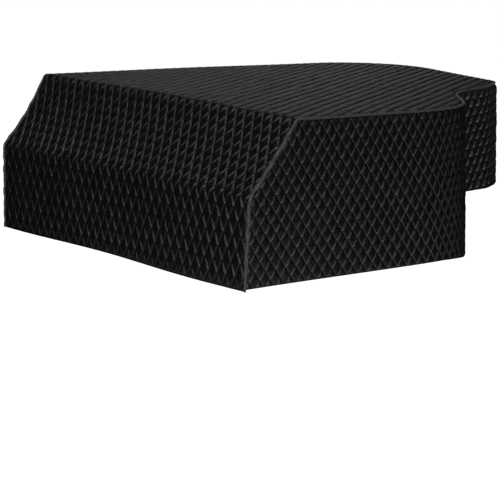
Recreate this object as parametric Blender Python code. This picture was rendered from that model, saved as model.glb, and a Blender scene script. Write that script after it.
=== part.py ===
"""Fitted, quilted cover for a grand piano, hanging as it does over the closed piano.

One long sheet covers the lid, slopes down over the keys and drops in front. Three
wall panels are sewn round its edge, with one run of piping in the seam. The cover
is hollow and open below. The y axis runs from the keys to the tail, and the origin
lies under the top, where the lid carries the cover.
"""
import math

import bmesh
import bpy
import numpy as np

# Driving dimensions, in metres. Plan distances are measured back from the crease at
# the front of the keys, and heights from the underside of the top.
WIDTH = 1.477
LID_FRONT = 0.176           # crease to the front edge of the lid
CREASE_DROP = 0.246         # lid to the crease
FRONT_DROP = 0.552          # lid to the front hem
SIDE_DROP_FRONT = 0.546     # lid to the side hems, at the front corners
SIDE_DROP_BACK = 0.515      # lid to the side hems, from where they stop rising
SIDE_HEM_RISE = 0.82        # how far behind the crease that is
TAIL_DROP_NOTCH = 0.366     # lid to the tail's hem, beside the notch
TAIL_DROP_END = 0.390       # lid to the tail's hem, round its end
BEND_DIP = 0.033            # how much lower the treble hem falls where that side bends in
BASS_PANEL_LENGTH = 1.16
ORIGIN_FROM_CREASE = 0.88

# The plan of the seam: corners in order from the keys' treble end, each with its round.
HALF = WIDTH / 2
PLAN_CORNERS = (
    # name, x, y, radius
    ("treble front", HALF, 0.000, 0.0),
    ("treble back", HALF, 0.938, 0.43),
    ("notch", 0.340, 1.240, 0.35),
    ("waist", 0.234, 1.507, 0.35),
    ("tail treble", 0.110, 1.674, 0.10),
    ("tail bass", -HALF, 1.848, 0.31),
    ("bass front", -HALF, 0.000, 0.0),
)

# Quilting: diamonds sewn through a light wadding, raised between the stitched lines.
SHEET_HALF_DIAMOND = 0.0238     # across the long sheet
TOP_HALF_DIAMOND = 0.0350       # along the long sheet's flat top
SLOPE_ROWS = 8
DROP_ROWS = 6
SIDE_DIAMOND = (0.0205, 0.0305)     # half widths and half heights on the walls
TAIL_DIAMOND = (0.0250, 0.0280)
CLOTH_FLAT = 0.0018             # thickness at the stitching
CLOTH_RISE = 0.0037             # what a diamond's middle adds
SLIVER = 0.0001                 # points this close, left where a sheet is cut, are one
INNER_STRIDE = 5                # the plain inner face has a point at each 5th line

# The piping lies in the seam between the long sheet and the walls.
PIPING_RADIUS = 0.0035
SEAM_GAP = 0.0004
CLOTH_INSET = 0.0012            # inner faces lie this far inside the piping's middle
SEAM_INSET = PIPING_RADIUS + SEAM_GAP

# How the cloth hangs.
SLOPE_SAG_TREBLE = 0.004
SLOPE_SAG_BASS = 0.0135
FRONT_NARROWING = 0.020         # how far each side leans in at the front hem
BACK_LEAN = (0.018, 0.020)      # how far the back of the cover leans over at the hem
BACK_LEAN_FROM = 0.9            # where, behind the crease, that lean is complete
TOP_FALL = 0.003                # how much lower the bass edge of the top lies
# Long waves: their height, their length, and where they start as a share of a turn.
SIDE_WAVE = (0.0030, 1.05, 0.10)
END_WAVE = (0.0030, 0.95, 0.30)
HEM_WAVE = (0.0020, 1.10, 0.40)
TOP_WAVE_ACROSS = (0.0015, 1.30, 0.20)
TOP_WAVE_ALONG = (1.0, 1.15, 0.05)

COLLECTION = "grand_piano_cover"
QUILTED_CLOTH = ((0.030, 0.031, 0.033, 1.0), 0.62)
PIPING_CLOTH = ((0.075, 0.076, 0.080, 1.0), 0.48)


def remove_everything():
    for item in list(bpy.data.objects):
        bpy.data.objects.remove(item, do_unlink=True)
    for group in list(bpy.data.collections):
        bpy.data.collections.remove(group)


def new_collection(name):
    group = bpy.data.collections.new(name)
    bpy.context.scene.collection.children.link(group)
    return group


def new_material(name, look):
    colour, roughness = look
    material = bpy.data.materials.new(name)
    material.use_nodes = True
    shader = material.node_tree.nodes["Principled BSDF"]
    shader.inputs["Base Color"].default_value = colour
    shader.inputs["Roughness"].default_value = roughness
    shader.inputs["Metallic"].default_value = 0.0
    material.diffuse_color = colour
    return material


# ---------------------------------------------------------------- the seam's plan

def plan_pieces():
    """Straight runs and rounds of the plan, each with its start and its length."""
    corners = [np.array(corner[1:3]) for corner in PLAN_CORNERS]
    radii = [corner[3] for corner in PLAN_CORNERS]
    pieces, start, here = [], 0.0, corners[0]
    for k in range(1, len(corners)):
        ahead = corners[k] - corners[k - 1]
        ahead /= np.linalg.norm(ahead)
        if k == len(corners) - 1:
            turn, cut = 0.0, 0.0
        else:
            after = corners[k + 1] - corners[k]
            after /= np.linalg.norm(after)
            turn = math.atan2(ahead[0] * after[1] - ahead[1] * after[0], ahead @ after)
            cut = radii[k] * math.tan(abs(turn) / 2)
        round_start = corners[k] - ahead * cut
        length = np.linalg.norm(round_start - here)
        pieces.append(dict(start=start, length=length, at=here, ahead=ahead, bend=0.0))
        start += length
        here = round_start
        if turn:
            bend = math.copysign(1 / radii[k], turn)
            length = abs(turn) * radii[k]
            pieces.append(dict(start=start, length=length, at=here, ahead=ahead, bend=bend))
            start += length
            here = corners[k] + after * cut
    return pieces, start


PIECES, PLAN_LENGTH = plan_pieces()
NOTCH_AT = PIECES[3]["start"] + PIECES[3]["length"] / 2
TAIL_CORNER_AT = PIECES[7]["start"]
BASS_SEAM_AT = PLAN_LENGTH - BASS_PANEL_LENGTH


def piece_at(s):
    return [piece for piece in PIECES if piece["start"] <= s or piece is PIECES[0]][-1]


def plan_point(s, inset=0.0):
    """Point of the plan at the length s along it, moved inward by inset."""
    piece = piece_at(s)
    run, ahead, bend = s - piece["start"], piece["ahead"], piece["bend"]
    left = np.array((-ahead[1], ahead[0]))
    if bend:
        angle = run * bend
        point = piece["at"] + (math.sin(angle) * ahead + (1 - math.cos(angle)) * left) / bend
        left = math.cos(angle) * left - math.sin(angle) * ahead
    else:
        point = piece["at"] + run * ahead
    return point + inset * left


def is_curved(s, margin):
    return any(piece["bend"] and piece["start"] - margin < s
               < piece["start"] + piece["length"] + margin for piece in PIECES)


def even_count(length, step):
    return 2 * round(length / step / 2)


# ------------------------------------------------------- the long sheet's side view

def slope_sag(x):
    share = (x + HALF) / WIDTH
    return SLOPE_SAG_BASS + (SLOPE_SAG_TREBLE - SLOPE_SAG_BASS) * share


def front_line(x, outward=0.0):
    """Side view (y, z) of the drop and the slope at x, from the hem to the lid's edge.

    The slope bellies inward, and outward moves the line off the hollow.
    """
    crease = np.array((0.0, -CREASE_DROP))
    lid_edge = np.array((LID_FRONT, 0.0))
    along = lid_edge - crease
    inward = np.array((-along[1], along[0])) * -1 / np.linalg.norm(along)
    points = [np.array((0.0, -FRONT_DROP + (FRONT_DROP - CREASE_DROP) * k / DROP_ROWS))
              for k in range(DROP_ROWS)]
    for k in range(SLOPE_ROWS + 1):
        share = k / SLOPE_ROWS
        belly = 4 * share * (1 - share) * slope_sag(x)
        points.append(crease + share * along + belly * inward)
    points = np.array(points)
    before = np.vstack((points[0] - (points[1] - points[0]), points[:-1]))
    beyond = np.vstack((points[1:], points[-1] + (LID_FRONT, 0.0)))
    first, second = points - before, beyond - points
    first /= np.linalg.norm(first, axis=1)[:, None]
    second /= np.linalg.norm(second, axis=1)[:, None]
    # Mitred normals keep an offset line at its full distance from both neighbours.
    normal = np.stack((-(first + second)[:, 1], (first + second)[:, 0]), axis=1)
    normal /= np.linalg.norm(normal, axis=1)[:, None]
    flat = np.stack((-first[:, 1], first[:, 0]), axis=1)
    mitre = (normal * flat).sum(axis=1)
    return points + outward * normal / mitre[:, None]


# --------------------------------------------------------------- quilted bodies

def quilt_height(columns, rows):
    """Height over the inner face at each point: raised where no stitches cross."""
    i, j = np.meshgrid(np.arange(columns + 1), np.arange(rows + 1), indexing="ij")
    raised = (i + j) % 2 == 1
    hemmed = (i == 0) | (i == columns) | (j == 0) | (j == rows)
    return CLOTH_FLAT + CLOTH_RISE * (raised & ~hemmed)


def quilted_body(name, outer, inner, kept_columns, kept_rows, material, collection):
    """One closed sheet: each half diamond of its outer face is two triangles."""
    columns, rows = outer.shape[0] - 1, outer.shape[1] - 1
    outer_index = np.arange(outer.shape[0] * outer.shape[1]).reshape(outer.shape[:2])
    inner_index = {}
    points = list(map(tuple, outer.reshape(-1, 3)))
    for i in kept_columns:
        for j in kept_rows:
            inner_index[i, j] = len(points)
            points.append(tuple(inner[i, j]))
    faces = []
    for i in range(columns):
        for j in range(rows):
            a, b = outer_index[i, j], outer_index[i + 1, j]
            c, d = outer_index[i + 1, j + 1], outer_index[i, j + 1]
            faces += [(a, b, c), (a, c, d)] if (i + j) % 2 == 0 else [(a, b, d), (b, c, d)]
    for a, b in zip(kept_columns, kept_columns[1:]):
        for c, d in zip(kept_rows, kept_rows[1:]):
            faces.append((inner_index[a, c], inner_index[a, d],
                          inner_index[b, d], inner_index[b, c]))
    for a, b in zip(kept_columns, kept_columns[1:]):
        low = [outer_index[i, 0] for i in range(a, b + 1)]
        faces.append([*reversed(low), inner_index[a, 0], inner_index[b, 0]])
        high = [outer_index[i, rows] for i in range(a, b + 1)]
        faces.append([*high, inner_index[b, rows], inner_index[a, rows]])
    for c, d in zip(kept_rows, kept_rows[1:]):
        left = [outer_index[0, j] for j in range(c, d + 1)]
        faces.append([*left, inner_index[0, d], inner_index[0, c]])
        right = [outer_index[columns, j] for j in range(c, d + 1)]
        faces.append([*reversed(right), inner_index[columns, c], inner_index[columns, d]])
    mesh = bpy.data.meshes.new(name)
    mesh.from_pydata(points, [], [tuple(int(v) for v in face) for face in faces])
    shape = bmesh.new()
    shape.from_mesh(mesh)
    bmesh.ops.recalc_face_normals(shape, faces=shape.faces)
    shape.to_mesh(mesh)
    shape.free()
    body = bpy.data.objects.new(name, mesh)
    body.data.materials.append(material)
    collection.objects.link(body)
    return body


def prism(name, outline, axis, start, stop, collection):
    """Cutter with a flat outline, drawn out along one axis."""
    shape = bmesh.new()
    ends = []
    for level in (start, stop):
        corners = [np.insert(np.array(point), axis, level) for point in outline]
        ends.append([shape.verts.new(corner) for corner in corners])
    for k in range(len(outline)):
        n = (k + 1) % len(outline)
        shape.faces.new((ends[0][k], ends[0][n], ends[1][n], ends[1][k]))
    shape.faces.new(ends[0])
    shape.faces.new(ends[1])
    bmesh.ops.recalc_face_normals(shape, faces=shape.faces)
    mesh = bpy.data.meshes.new(name)
    shape.to_mesh(mesh)
    shape.free()
    cutter = bpy.data.objects.new(name, mesh)
    cutter.display_type = "WIRE"
    cutter.hide_render = True
    collection.objects.link(cutter)
    return cutter


def cut_away(body, cutter):
    """Take the cutter out of the body, and keep the result as the body's mesh."""
    cut = body.modifiers.new("trim", "BOOLEAN")
    cut.operation = "DIFFERENCE"
    cut.solver = "EXACT"
    cut.object = cutter
    cut_mesh = bpy.data.meshes.new_from_object(
        body.evaluated_get(bpy.context.evaluated_depsgraph_get()))
    body.modifiers.clear()
    body.data = cut_mesh
    cut_mesh.name = body.name


# --------------------------------------------------------------------- the pieces

def top_and_front_panel(material, collection, cutters):
    """The long sheet: front drop, slope over the keys, and the top to the tail."""
    half_width = HALF - SEAM_INSET
    columns = even_count(2 * half_width, SHEET_HALF_DIAMOND)
    longest = max(corner[2] for corner in PLAN_CORNERS)
    top_rows = even_count(longest - LID_FRONT, TOP_HALF_DIAMOND)
    rows = DROP_ROWS + SLOPE_ROWS + top_rows
    height = quilt_height(columns, rows)
    inner = np.zeros((columns + 1, rows + 1, 3))
    outer = np.zeros((columns + 1, rows + 1, 3))
    bend_rows = DROP_ROWS + SLOPE_ROWS + 1
    top_y = LID_FRONT + TOP_HALF_DIAMOND * np.arange(1, top_rows + 1)
    for i in range(columns + 1):
        x = -half_width + 2 * half_width * i / columns
        under = front_line(x)
        over = under + (front_line(x, 1.0) - under) * height[i, :bend_rows, None]
        for side, line in ((inner, under), (outer, over)):
            side[i, :, 0] = x
            side[i, :bend_rows, 1:] = line
            side[i, bend_rows:, 1] = top_y
        outer[i, bend_rows:, 2] = height[i, bend_rows:]
    kept_columns = sorted({*range(0, columns, INNER_STRIDE), columns})
    kept_rows = sorted({*range(0, DROP_ROWS, INNER_STRIDE), *range(DROP_ROWS, bend_rows, 2),
                        *range(bend_rows - 1, rows, INNER_STRIDE), rows})
    body = quilted_body("top_and_front_panel", outer, inner, kept_columns, kept_rows,
                        material, collection)
    cut_away(body, tail_offcut(cutters))
    return body


def tail_offcut(cutters):
    """What is cut off the long sheet beside and behind the tail."""
    step = TAIL_DIAMOND[0]
    first, last = PIECES[1]["start"], PIECES[9]["start"] + PIECES[9]["length"]
    line = [plan_point(s, SEAM_INSET) for s in cut_lengths(first, last, step)]
    margin = 0.2
    line.insert(0, line[0] + (line[0] - line[1]) * margin / step)
    line.append(line[-1] + (line[-1] - line[-2]) * margin / step)
    far = max(corner[2] for corner in PLAN_CORNERS) + margin
    line += [(-HALF - margin, line[-1][1]), (-HALF - margin, far),
             (HALF + margin, far), (HALF + margin, line[0][1])]
    return prism("tail_offcut", line, 2, -0.05, 0.05, cutters)


def cut_lengths(first, last, step):
    """Lengths along the plan at which the seam's neighbours all have a point."""
    return [s for s in SEAM_LENGTHS if first - step / 2 < s < last + step / 2]


def wall_diamond(name):
    return TAIL_DIAMOND if name == "tail_panel" else SIDE_DIAMOND


def wall_lengths():
    """Column places of the three wall panels, as lengths along the plan."""
    front = SEAM_INSET - CLOTH_INSET
    spans = dict(
        treble_side_panel=(front, NOTCH_AT - SEAM_GAP / 2),
        tail_panel=(NOTCH_AT + SEAM_GAP / 2, BASS_SEAM_AT - SEAM_GAP / 2),
        bass_side_panel=(BASS_SEAM_AT + SEAM_GAP / 2, PLAN_LENGTH - front),
    )
    return {name: np.linspace(a, b, even_count(b - a, wall_diamond(name)[0]) + 1)
            for name, (a, b) in spans.items()}


def seam_lengths():
    """Column places of all the walls; two panels that meet share one."""
    places = sorted(float(s) for columns in WALLS.values() for s in columns)
    return [s for k, s in enumerate(places) if k == 0 or s - places[k - 1] > 2 * SEAM_GAP]


WALLS = wall_lengths()
SEAM_LENGTHS = seam_lengths()


def wall_drop(name, s):
    if name == "tail_panel":
        share = min(1.0, (s - NOTCH_AT) / (TAIL_CORNER_AT - NOTCH_AT))
        return TAIL_DROP_NOTCH + (TAIL_DROP_END - TAIL_DROP_NOTCH) * share
    from_front = s if name == "treble_side_panel" else PLAN_LENGTH - s
    share = min(1.0, from_front / SIDE_HEM_RISE)
    drop = SIDE_DROP_FRONT + (SIDE_DROP_BACK - SIDE_DROP_FRONT) * share
    if name == "treble_side_panel":
        bend = PIECES[1]
        drop += BEND_DIP * min(1.0, max(0.0, (s - bend["start"]) / bend["length"])) ** 2
    return drop


def wall_panel(name, material, collection):
    """An upright wall that follows the plan, from the seam down to its hem."""
    places = WALLS[name]
    columns = len(places) - 1
    top = CLOTH_INSET - SEAM_INSET
    rows = round((wall_drop(name, places[-1]) + top) / wall_diamond(name)[1])
    height = quilt_height(columns, rows)
    inner = np.zeros((columns + 1, rows + 1, 3))
    outer = np.zeros((columns + 1, rows + 1, 3))
    for i, s in enumerate(places):
        levels = np.linspace(top, -wall_drop(name, s), rows + 1)
        for j, level in enumerate(levels):
            inner[i, j] = *plan_point(s, CLOTH_INSET), level
            outer[i, j] = *plan_point(s, CLOTH_INSET - height[i, j]), level
    kept_columns = [i for i, s in enumerate(places)
                    if i % INNER_STRIDE == 0 or i == columns
                    or is_curved(s, wall_diamond(name)[0])]
    kept_rows = sorted({*range(0, rows, INNER_STRIDE), rows})
    return quilted_body(name, outer, inner, kept_columns, kept_rows, material, collection)


def slope_offcut(name, side, cutters):
    """What is cut off a side panel above the slope over the keys."""
    line = front_line(side * HALF, CLOTH_INSET - SEAM_INSET)[DROP_ROWS:]
    line = list(line)
    line.insert(0, line[0] + (line[0] - line[1]) * 2)
    line.append(line[-1] + (line[-1] - line[-2]) * 2)
    line.append((line[0][0], line[-1][1]))
    ends = sorted((side * (HALF - 0.05), side * (HALF + 0.05)))
    return prism(name, line, 0, *ends, cutters)


def seam_piping(material, collection):
    """One covered cord round the long sheet, from one front hem corner to the other."""
    corner = {side: front_line(side * HALF, CLOTH_INSET) for side in (1, -1)}
    route = [(HALF, y, z) for y, z in corner[1]]
    lid_edge = PIPING_RADIUS + LID_FRONT
    places = [s for k, s in enumerate(SEAM_LENGTHS)
              if lid_edge < s < PLAN_LENGTH - lid_edge
              and (k % INNER_STRIDE == 0 or is_curved(s, TAIL_DIAMOND[0]))]
    route += [(*plan_point(s), CLOTH_INSET) for s in places]
    route += [(-HALF, y, z) for y, z in reversed(corner[-1])]
    curve = bpy.data.curves.new("seam_piping", "CURVE")
    curve.dimensions = "3D"
    curve.bevel_depth = PIPING_RADIUS
    curve.bevel_resolution = 1
    curve.use_fill_caps = True
    spline = curve.splines.new("POLY")
    spline.points.add(len(route) - 1)
    for point, place in zip(spline.points, route):
        point.co = (*place, 1.0)
    drawn = bpy.data.objects.new("seam_piping_route", curve)
    collection.objects.link(drawn)
    mesh = bpy.data.meshes.new_from_object(
        drawn.evaluated_get(bpy.context.evaluated_depsgraph_get()))
    bpy.data.objects.remove(drawn)
    shape = bmesh.new()
    shape.from_mesh(mesh)
    bmesh.ops.remove_doubles(shape, verts=shape.verts, dist=SLIVER)
    bmesh.ops.recalc_face_normals(shape, faces=shape.faces)
    shape.to_mesh(mesh)
    shape.free()
    mesh.name = "seam_piping"
    mesh.materials.clear()
    mesh.materials.append(material)
    mesh.shade_smooth()
    piping = bpy.data.objects.new("seam_piping", mesh)
    collection.objects.link(piping)
    return piping


# ------------------------------------------------------------------ how it hangs

def wave(along, shape):
    height, length, start = shape
    return height * np.sin(2 * math.pi * (along / length + start))


def hang(points):
    """Let the upright, fitted shape lean in below and wave a little, as cloth does."""
    x, y, z = points.T
    depth = np.clip(-z / SIDE_DROP_FRONT, 0.0, None)
    back = np.clip(y / BACK_LEAN_FROM, 0.0, 1.0)
    back = back * back * (3 - 2 * back)
    narrowing = FRONT_NARROWING * (1 - back) * x / HALF
    hung_x = x + depth * (BACK_LEAN[0] * back - narrowing + wave(y, SIDE_WAVE))
    hung_y = y + depth * (BACK_LEAN[1] * back + wave(x, END_WAVE))
    top = wave(x, TOP_WAVE_ACROSS) * wave(y, TOP_WAVE_ALONG)
    top -= TOP_FALL * np.clip(-x / HALF, 0.0, 1.0)
    hung_z = z + top + depth * wave(x + y, HEM_WAVE)
    return np.stack((hung_x, hung_y - ORIGIN_FROM_CREASE, hung_z), axis=1)


def settle(body):
    """Clear the finished body of slivers, triangulate it and hang it."""
    shape = bmesh.new()
    shape.from_mesh(body.data)
    bmesh.ops.remove_doubles(shape, verts=shape.verts, dist=SLIVER)
    bmesh.ops.dissolve_degenerate(shape, edges=shape.edges, dist=SLIVER)
    bmesh.ops.triangulate(shape, faces=[face for face in shape.faces if len(face.verts) > 3])
    shape.to_mesh(body.data)
    shape.free()
    points = np.empty(len(body.data.vertices) * 3)
    body.data.vertices.foreach_get("co", points)
    body.data.vertices.foreach_set("co", hang(points.reshape(-1, 3)).ravel())
    body.data.update()


def build():
    remove_everything()
    cover = new_collection(COLLECTION)
    cutters = new_collection("cutters")
    sheet = top_and_front_panel(new_material("quilted_cloth", QUILTED_CLOTH), cover, cutters)
    walls = [wall_panel(name, new_material(name + "_cloth", QUILTED_CLOTH), cover)
             for name in WALLS]
    cut_away(walls[0], slope_offcut("treble_slope_offcut", 1, cutters))
    cut_away(walls[2], slope_offcut("bass_slope_offcut", -1, cutters))
    piping = seam_piping(new_material("piping_cloth", PIPING_CLOTH), cover)
    for body in (sheet, *walls, piping):
        settle(body)


build()
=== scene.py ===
# %% [markdown]
# # A fitted, quilted cover for a grand piano
#
# The cover is a soft box sewn to the shape of a closed grand piano: one long sheet of
# quilted cloth lies on the lid, slopes down over the keys and drops in front, and three
# wall panels are sewn round its edge with a piped seam. It could be modelled from a
# subdivided box with a picture of quilting on it, but then the quilting would be flat
# from the side. Here each panel is worked out with numpy as a surface in its own flat
# cloth measurements, with the quilting as real relief, and is then hung in place.
#
# The frame comes first. It is the solid model, and every new piece goes where its solid is.

import math

import bpy
import numpy as np
from mathutils import Matrix, Vector


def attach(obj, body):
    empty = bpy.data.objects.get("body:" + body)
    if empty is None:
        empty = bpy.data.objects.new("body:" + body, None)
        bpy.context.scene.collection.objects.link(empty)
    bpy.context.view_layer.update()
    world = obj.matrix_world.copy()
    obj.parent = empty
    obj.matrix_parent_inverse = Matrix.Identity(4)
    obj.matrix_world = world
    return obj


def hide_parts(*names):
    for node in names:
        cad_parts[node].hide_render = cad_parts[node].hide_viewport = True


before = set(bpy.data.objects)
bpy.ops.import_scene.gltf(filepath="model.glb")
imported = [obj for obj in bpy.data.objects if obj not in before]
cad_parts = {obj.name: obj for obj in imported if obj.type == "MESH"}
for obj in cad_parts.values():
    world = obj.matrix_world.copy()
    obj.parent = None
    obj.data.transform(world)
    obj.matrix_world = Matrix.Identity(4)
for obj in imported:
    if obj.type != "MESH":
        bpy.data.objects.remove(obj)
bpy.context.view_layer.update()
print("solids:", sorted(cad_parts))

# %% [markdown]
# ## The cutting plan
#
# A maker would draw the seam line first, seen from above: corners with rounds between
# straight runs, measured back from the crease under the keys. The same numbers shaped
# the solids, so what is made here lies on them.

# %% Measures of the cover
WIDTH = 1.477  # from one side seam to the other
HALF = WIDTH / 2
LID_FRONT = 0.176  # crease to the lid's front edge, along the floor
CREASE_DROP = 0.246  # lid to the crease
FRONT_DROP = 0.552  # lid to the front hem
SIDE_DROPS = (0.546, 0.515)  # lid to the side hems, in front and farther back
SIDE_HEM_RISE = 0.82  # the hem rises over this length
BEND_DIP = 0.033  # the treble hem falls again where that side bends in
TAIL_DROPS = (0.366, 0.390)  # lid to the tail's hem, at the notch and round the end
BASS_PANEL_LENGTH = 1.16  # crease to the seam between the bass and tail walls
ORIGIN_FROM_CREASE = 0.88  # the origin lies this far behind the crease
SLOPE_SAGS = (0.0135, 0.004)  # the slope's hollow belly, at the bass and treble ends

PIPING_RADIUS = 0.0035
CLOTH_INSET = 0.0012  # the walls' inner faces lie this far inside the piping
SEAM_INSET = 0.0039  # the cloth's edges stop this far inside the piping
CLOTH_FLAT = 0.0018  # thickness at the stitching
TURN = 2 * math.pi  # a full turn, for sines and circles

SEAM_CORNERS = (  # x, y, radius of the round
    (HALF, 0.000, 0.0), (HALF, 0.938, 0.43), (0.340, 1.240, 0.35), (0.234, 1.507, 0.35),
    (0.110, 1.674, 0.10), (-HALF, 1.848, 0.31), (-HALF, 0.000, 0.0),
)


def seam_runs(corners):
    """Straight runs and rounds, one after the other along the seam line.

    A round of radius r between two runs that turn by the angle a starts
    r * tan(a / 2) before the corner and is r * a long.
    """
    places = [np.array(corner[:2]) for corner in corners]
    runs, start, here = [], 0.0, places[0]
    for k in range(1, len(corners)):
        ahead = places[k] - places[k - 1]
        ahead = ahead / np.linalg.norm(ahead)
        turn, cut = 0.0, 0.0
        if k < len(corners) - 1:
            after = places[k + 1] - places[k]
            after = after / np.linalg.norm(after)
            turn = math.atan2(ahead[0] * after[1] - ahead[1] * after[0], ahead @ after)
            cut = corners[k][2] * math.tan(abs(turn) / 2)
        length = np.linalg.norm(places[k] - ahead * cut - here)
        runs.append(dict(start=start, length=length, at=here, ahead=ahead, bend=0.0))
        start, here = start + length, here + ahead * length
        if turn:
            bend = math.copysign(1 / corners[k][2], turn)
            length = abs(turn) * corners[k][2]
            runs.append(dict(start=start, length=length, at=here, ahead=ahead, bend=bend))
            start, here = start + length, places[k] + after * cut
    return runs, start


RUNS, SEAM_LENGTH = seam_runs(SEAM_CORNERS)
BEND = RUNS[1]
NOTCH_AT = RUNS[3]["start"] + RUNS[3]["length"] / 2
TAIL_CORNER_AT = RUNS[7]["start"]
BASS_SEAM_AT = SEAM_LENGTH - BASS_PANEL_LENGTH
print(f"seam line {SEAM_LENGTH:.3f} m long in {len(RUNS)} runs, notch at {NOTCH_AT:.3f} m")

# %% [markdown]
# Two questions come up again and again: where is the seam line at a given length along
# it, and how far inside the seam line is a given point? Both are answered run by run for
# whole arrays. A straight run needs one dot product. For a round it is easiest to
# measure from the round's middle.

# %% Places on the seam line, and distances from it
def seam_place(s, inset=0.0):
    """Point at the length s, moved inward by inset.

    Straight: at + run * ahead. Round of curvature c: at + (sin(run c) * ahead
    + (1 - cos(run c)) * left) / c, and left turns with it.
    """
    s, inset = np.broadcast_arrays(np.asarray(s, float), np.asarray(inset, float))
    place = np.empty(s.shape + (2,))
    for k, run in enumerate(RUNS):
        here = (s >= run["start"]) | (k == 0)
        along, ahead, c = (s[here] - run["start"])[:, None], run["ahead"], run["bend"]
        left = np.array((-ahead[1], ahead[0]))
        if c:
            place[here] = run["at"] + (np.sin(along * c) * ahead
                                       + (1 - np.cos(along * c)) * left) / c
            left = np.cos(along * c) * left - np.sin(along * c) * ahead
        else:
            place[here] = run["at"] + along * ahead
        place[here] += inset[here][:, None] * left
    return place


def seam_outward(s):
    """Unit vector square to the seam line, away from the piano: from a point a little
    inside the line to the line, over that distance."""
    inside = 0.001
    return (seam_place(s, 0.0) - seam_place(s, inside)) / inside


def inside_seam(x, y):
    """Distance of the points inside the seam line: the nearest run decides.

    Beside a straight run it is the cross product with its direction, and beside a
    round it is the radius less the distance from the round's middle.
    """
    points = np.stack((x, y), axis=-1)
    nearest = np.full(x.shape, np.inf)
    inside = np.zeros(x.shape)
    for run in RUNS:
        away, ahead, c = points - run["at"], run["ahead"], run["bend"]
        left = np.array((-ahead[1], ahead[0]))
        if c:
            spoke = away - left / c
            angle = np.arctan2(spoke @ ahead * abs(c), -spoke @ left * c)
            beside = (angle > 0) & (angle < run["length"] * abs(c))
            side = np.sign(c) * (1 / abs(c) - np.linalg.norm(spoke, axis=-1))
            gap = np.where(beside, np.abs(side), np.inf)
        else:
            along = np.clip(away @ ahead, 0, run["length"])
            side = away @ left
            gap = np.linalg.norm(away - along[..., None] * ahead, axis=-1)
        closer = gap < nearest
        inside = np.where(closer, np.sign(side) * gap, inside)
        nearest = np.where(closer, gap, nearest)
    return inside


print("middle of the lid lies", np.round(inside_seam(np.array([0.0]), np.array([0.9])), 3),
      "m inside the seam")

# %% [markdown]
# ## The long sheet's side view
#
# Seen from the side the long sheet rises from the front hem to the crease, slopes over
# the keys with a slight hollow, and lies flat on the lid. Cloth takes no sharp bend, so
# the line is averaged over a short stretch to either side of each point. Straight parts
# stay where they are, and the two folds become soft.

# %% Side view of the long sheet
DROP_UP = FRONT_DROP - CREASE_DROP
SLOPE_UP = math.hypot(LID_FRONT, CREASE_DROP)
LID_AT = DROP_UP + SLOPE_UP
FOLD = 0.018  # the stretch that each point is averaged over


def sharp_side_view(t, x):
    """(y, z) at the length t up from the front hem: three straight parts, and on the
    slope a hollow of 4 v (1 - v) * sag, where v is the share of the slope."""
    share = (x + HALF) / WIDTH
    sag = SLOPE_SAGS[0] + (SLOPE_SAGS[1] - SLOPE_SAGS[0]) * share
    v = np.clip((t - DROP_UP) / SLOPE_UP, 0, 1)
    hollow = 4 * v * (1 - v) * sag
    lid = np.clip(t - LID_AT, 0, None)
    y = v * LID_FRONT + hollow * CREASE_DROP / SLOPE_UP + lid
    z = np.clip(t - DROP_UP, None, 0) - CREASE_DROP * (1 - v) - hollow * LID_FRONT / SLOPE_UP
    return np.stack((y, z), axis=-1)


def side_view(t, x, raised=0.0):
    """The mean of the sharp line over a fold's stretch, moved off by raised * square,
    where square is the line's direction turned by a quarter."""
    t, x = np.broadcast_arrays(t, x)
    near = np.linspace(-FOLD / 2, FOLD / 2, 9)
    line = np.mean([sharp_side_view(t + d, x) for d in near], axis=0)
    step = 0.0005
    ahead = np.mean([sharp_side_view(t + d + step, x) - sharp_side_view(t + d - step, x)
                     for d in near], axis=0)
    ahead /= np.linalg.norm(ahead, axis=-1, keepdims=True)
    square = np.stack((-ahead[..., 1], ahead[..., 0]), axis=-1)
    return line + np.asarray(raised)[..., None] * square


print(f"front drop {DROP_UP:.3f} m, slope {SLOPE_UP:.3f} m, lid from {LID_AT:.3f} m up the sheet")

# %% [markdown]
# ## How the cover hangs
#
# Sewn pieces would stand upright like a box. On a piano they lean a little, the hem
# waves, and the top dips between what carries it. All of that is one gentle change of
# place, the same for every panel, so panels that meet stay together. A second, finer
# change adds the small unevenness of cloth that has been folded and unfolded.

# %% Hanging
# Each wave has a height, a length, and a start as a share of a turn.
SIDE_WAVE = (0.0030, 1.05, 0.10)
END_WAVE = (0.0030, 0.95, 0.30)
HEM_WAVE = (0.0020, 1.10, 0.40)
TOP_WAVE_ACROSS = (0.0015, 1.30, 0.20)
TOP_WAVE_ALONG = (1.0, 1.15, 0.05)  # multiplies the wave across
FRONT_NARROWING = 0.020  # each side leans in by this at the front hem
BACK_LEAN = (0.018, 0.020)  # the back leans over by this at the hem, across and along
BACK_LEAN_FROM = 0.9  # where, behind the crease, that lean is complete
TOP_FALL = 0.003  # how much lower the bass edge of the top lies
UNEVENNESS = 0.0004


def wave(along, shape):
    """A sine: height * sin(turns), counted in lengths from the start."""
    height, length, start = shape
    return height * np.sin(TURN * (along / length + start))


def eased(share):
    """0 to 1 with level ends: 3 t^2 - 2 t^3."""
    share = np.clip(share, 0, 1)
    return share * share * (3 - 2 * share)


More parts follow.
